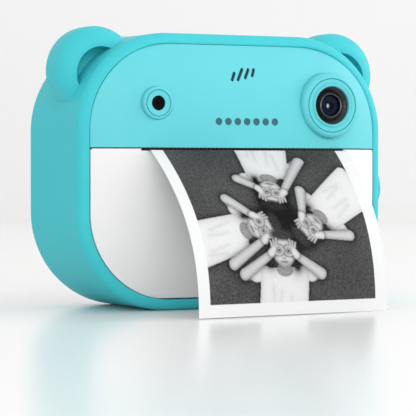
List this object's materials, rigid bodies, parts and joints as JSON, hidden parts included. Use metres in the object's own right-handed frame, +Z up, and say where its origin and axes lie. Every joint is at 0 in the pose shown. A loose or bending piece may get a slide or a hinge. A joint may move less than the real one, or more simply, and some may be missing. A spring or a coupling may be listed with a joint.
{
  "type": "kids digital camera",
  "caption": "Toy instant-print camera in an eared silicone jacket, with a paper door in front, a coupled printer drive, a screen and push buttons behind.",
  "frame": {"origin": "middle of the foot print, on the surface that the camera stands on", "axes": "+Z up, -Y is the way the lens looks, +X towards the lens side"},
  "size_m": [0.0928, 0.07, 0.0728],
  "materials": {
    "jacket_silicone": "matte moulded silicone, turquoise",
    "face_abs": "satin moulded ABS, turquoise",
    "white_abs": "satin moulded ABS, white",
    "grey_abs": "plain moulded ABS, grey",
    "black_gloss": "polished black",
    "black_abs": "matte black ABS",
    "lens_glass": "coated lens glass",
    "trim_metal": "turned ring",
    "screen_glass": "hard-coated window",
    "steel": "plain steel",
    "zinc_screw": "zinc plated",
    "bronze": "sintered bronze",
    "platen_rubber": "ground silicone rubber",
    "gear_acetal": "moulded acetal",
    "paper": "coated thermal paper",
    "core_card": "wound card",
    "ceramic": "glazed ceramic substrate",
    "heatsink": "bent sheet",
    "pcb_green": "solder mask",
    "chip_black": "moulded chips",
    "battery_wrap": "heat-shrink wrap",
    "button_abs": "moulded ABS, turquoise",
    "button_white": "moulded ABS, white"
  },
  "bodies": {
    "case": {"silicone_jacket": "jacket_silicone", "front_shell": "white_abs", "rear_shell": "white_abs", "face_plate": "face_abs", "tear_bar": "black_abs", "idler_pin": "steel", "stepper_motor": "steel", "printer_frame": "grey_abs", "print_head": "ceramic", "head_bracket": "heatsink", "head_springs": "steel", "paper_bin": "grey_abs", "paper_web": "paper", "paper_print": "paper", "lens_ring": "face_abs", "lens_bezel": "black_gloss", "lens_trim_ring": "trim_metal", "lens_glass": "lens_glass", "lens_barrel": "black_abs", "sensor_board": "pcb_green", "eye_ring": "face_abs", "eye_window": "black_gloss", "microphone": "trim_metal", "speaker": "black_abs", "main_board": "pcb_green", "board_chips": "chip_black", "lcd_panel": "trim_metal", "lcd_window": "screen_glass", "battery": "battery_wrap", "usb_socket": "steel", "card_socket": "steel", "shutter_board": "pcb_green", "shutter_switch": "chip_black", "rear_switches": "chip_black", "release_spring": "steel", "case_screws": "zinc_screw", "face_screws": "zinc_screw", "frame_screws": "zinc_screw"},
    "door": {"paper_door": "white_abs", "hinge_pins": "steel", "platen_bushes": "bronze"},
    "platen": {"platen_roller": "platen_rubber", "platen_shaft": "steel", "platen_gear": "gear_acetal"},
    "roll": {"paper_roll": "paper", "roll_core": "core_card"},
    "idler": {"idler_gear": "gear_acetal"},
    "rotor": {"motor_pinion": "bronze"},
    "shutter": {"shutter_button": "button_white"},
    "release": {"release_button": "button_abs"},
    "mode_button": {"mode_button": "button_abs"},
    "up_button": {"up_button": "button_abs"},
    "ok_button": {"ok_button": "button_abs"},
    "down_button": {"down_button": "button_abs"},
    "print_button": {"print_button": "button_abs"}
  },
  "joints": [
    {"name": "door_hinge", "type": "hinge", "parent": "case", "child": "door", "pos_m": [0, -0.01795, 0.0065], "axis": [1, 0, 0], "range_deg": [0, 90], "deforming": ["paper_print", "paper_web"]},
    {"name": "paper_roll_spin", "type": "hinge", "parent": "case", "child": "roll", "pos_m": [0, -0.004, 0.019], "axis": [1, 0, 0], "continuous": true},
    {"name": "platen_spin", "type": "hinge", "parent": "door", "child": "platen", "pos_m": [0, -0.015, 0.037], "axis": [1, 0, 0], "continuous": true},
    {"name": "idler_spin", "type": "hinge", "parent": "case", "child": "idler", "pos_m": [-0.033, -0.0086, 0.037], "axis": [1, 0, 0], "continuous": true},
    {"name": "motor_spin", "type": "hinge", "parent": "case", "child": "rotor", "pos_m": [-0.034, 0.0001, 0.04106], "axis": [1, 0, 0], "continuous": true},
    {"name": "shutter_press", "type": "slide", "parent": "case", "child": "shutter", "axis": [0, 0, -1], "range_m": [0, 0.0004], "stiffness_N_per_m": 600},
    {"name": "release_press", "type": "slide", "parent": "case", "child": "release", "axis": [-1, 0, 0], "range_m": [0, 0.0005], "stiffness_N_per_m": 300, "deforming": ["release_spring"]},
    {"name": "mode_button_press", "type": "slide", "parent": "case", "child": "mode_button", "axis": [0, -1, 0], "range_m": [0, 0.0004], "stiffness_N_per_m": 400},
    {"name": "up_button_press", "type": "slide", "parent": "case", "child": "up_button", "axis": [0, -1, 0], "range_m": [0, 0.0004], "stiffness_N_per_m": 400},
    {"name": "ok_button_press", "type": "slide", "parent": "case", "child": "ok_button", "axis": [0, -1, 0], "range_m": [0, 0.0004], "stiffness_N_per_m": 400},
    {"name": "down_button_press", "type": "slide", "parent": "case", "child": "down_button", "axis": [0, -1, 0], "range_m": [0, 0.0004], "stiffness_N_per_m": 400},
    {"name": "print_button_press", "type": "slide", "parent": "case", "child": "print_button", "axis": [0, -1, 0], "range_m": [0, 0.0004], "stiffness_N_per_m": 400}
  ],
  "couplings": [
    {"joint": "platen_spin", "follows": "paper_roll_spin", "ratio": -3},
    {"joint": "idler_spin", "follows": "paper_roll_spin", "ratio": 3.8571},
    {"joint": "motor_spin", "follows": "paper_roll_spin", "ratio": -11.571}
  ]
}
